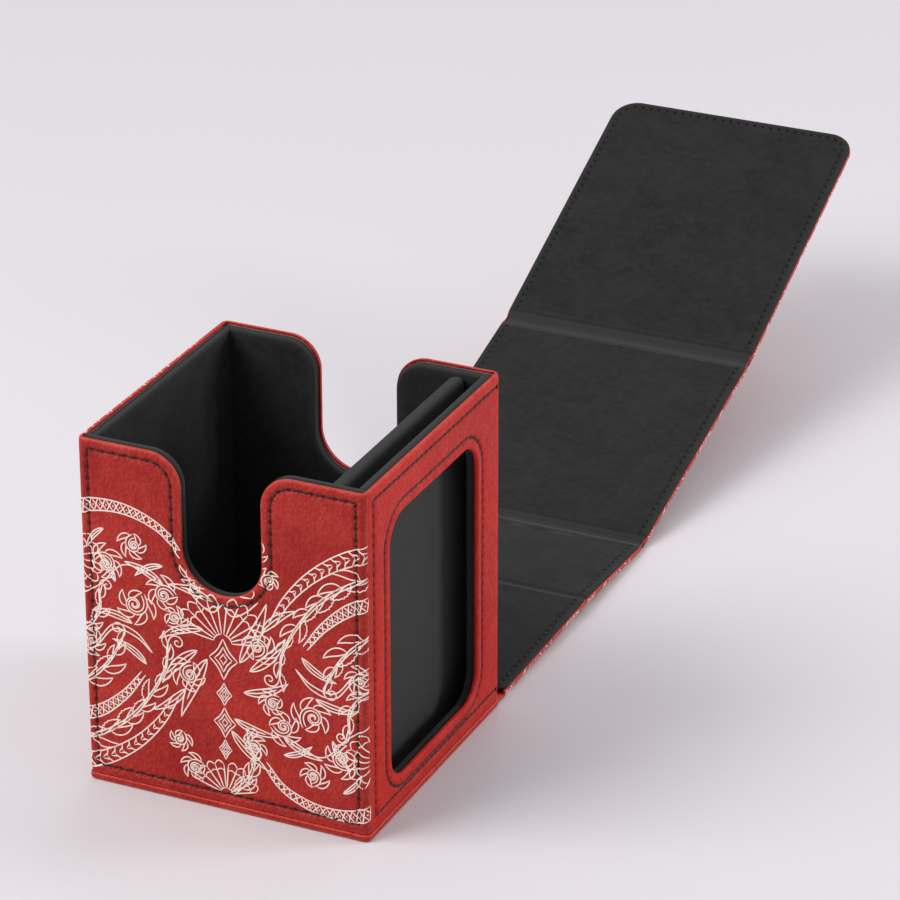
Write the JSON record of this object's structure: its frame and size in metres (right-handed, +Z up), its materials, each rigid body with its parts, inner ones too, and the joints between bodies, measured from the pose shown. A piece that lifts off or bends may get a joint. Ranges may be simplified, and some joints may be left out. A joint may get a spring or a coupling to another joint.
{
  "type": "card deck box",
  "caption": "Open-topped leather-covered box for a deck of cards, with thumb notches, a side window, a divider and a folding flap that closes over the back, top and front.",
  "frame": {"origin": "middle of the base plate's underside, on the surface the box stands on", "axes": "+X along the front wall towards the window wall, +Y from the front wall towards the flap, +Z up"},
  "size_m": [0.0866, 0.3782, 0.105],
  "materials": {
    "leather": "fine pebble grain, semi-matte",
    "lining": "brushed microfibre nap",
    "board": "raw grey pressed board",
    "thread": "twisted black sewing thread",
    "magnet": "nickel-plated disc",
    "print": "thin matte cream ink line work on the leather"
  },
  "bodies": {
    "box": {"base_board": "board", "base_cover": "leather", "base_lining": "lining", "front_board": "board", "front_cover": "leather", "front_lining": "lining", "front_thread": "thread", "back_board": "board", "back_cover": "leather", "back_lining": "lining", "back_thread": "thread", "side_board": "board", "side_cover": "leather", "side_lining": "lining", "side_thread": "thread", "window_board": "board", "window_cover": "leather", "window_lining": "lining", "window_outer_thread": "thread", "window_inner_thread": "thread", "divider_board": "board", "divider_wrap": "lining", "wall_magnets": "magnet", "base_hinge_strip": "leather"},
    "back_lower": {"back_lower_cover": "leather", "back_lower_board": "board", "back_lower_lining": "lining", "back_lower_thread": "thread", "back_crease_strip": "leather"},
    "back_upper": {"back_upper_cover": "leather", "back_upper_board": "board", "back_upper_lining": "lining", "back_upper_thread": "thread", "rear_crease_strip": "leather"},
    "lid_top": {"lid_top_cover": "leather", "lid_top_board": "board", "lid_top_lining": "lining", "lid_top_thread": "thread", "front_crease_strip": "leather"},
    "lid_front": {"lid_front_cover": "leather", "lid_front_board": "board", "lid_front_lining": "lining", "lid_front_thread": "thread", "lid_magnets": "magnet"}
  },
  "joints": [
    {"name": "base_hinge", "type": "hinge", "parent": "box", "child": "back_lower", "pos_m": [0, 0.0455, 0.0014], "axis": [1, 0, 0], "range_deg": [0, 88.5]},
    {"name": "back_crease_fold", "type": "hinge", "parent": "back_lower", "child": "back_upper", "pos_m": [0, 0.10648, 0.003], "axis": [1, 0, 0], "range_deg": [0, 3.73]},
    {"name": "rear_crease_fold", "type": "hinge", "parent": "back_upper", "child": "lid_top", "pos_m": [0, 0.15155, 0.00124], "axis": [1, 0, 0], "range_deg": [-15, 71.77]},
    {"name": "front_crease_fold", "type": "hinge", "parent": "lid_top", "child": "lid_front", "pos_m": [0, 0.23902, 0.02632], "axis": [1, 0, 0], "range_deg": [-10, 81.8]}
  ],
  "couplings": [
    {"joint": "back_crease_fold", "follows": "base_hinge", "ratio": 0.042175}
  ]
}
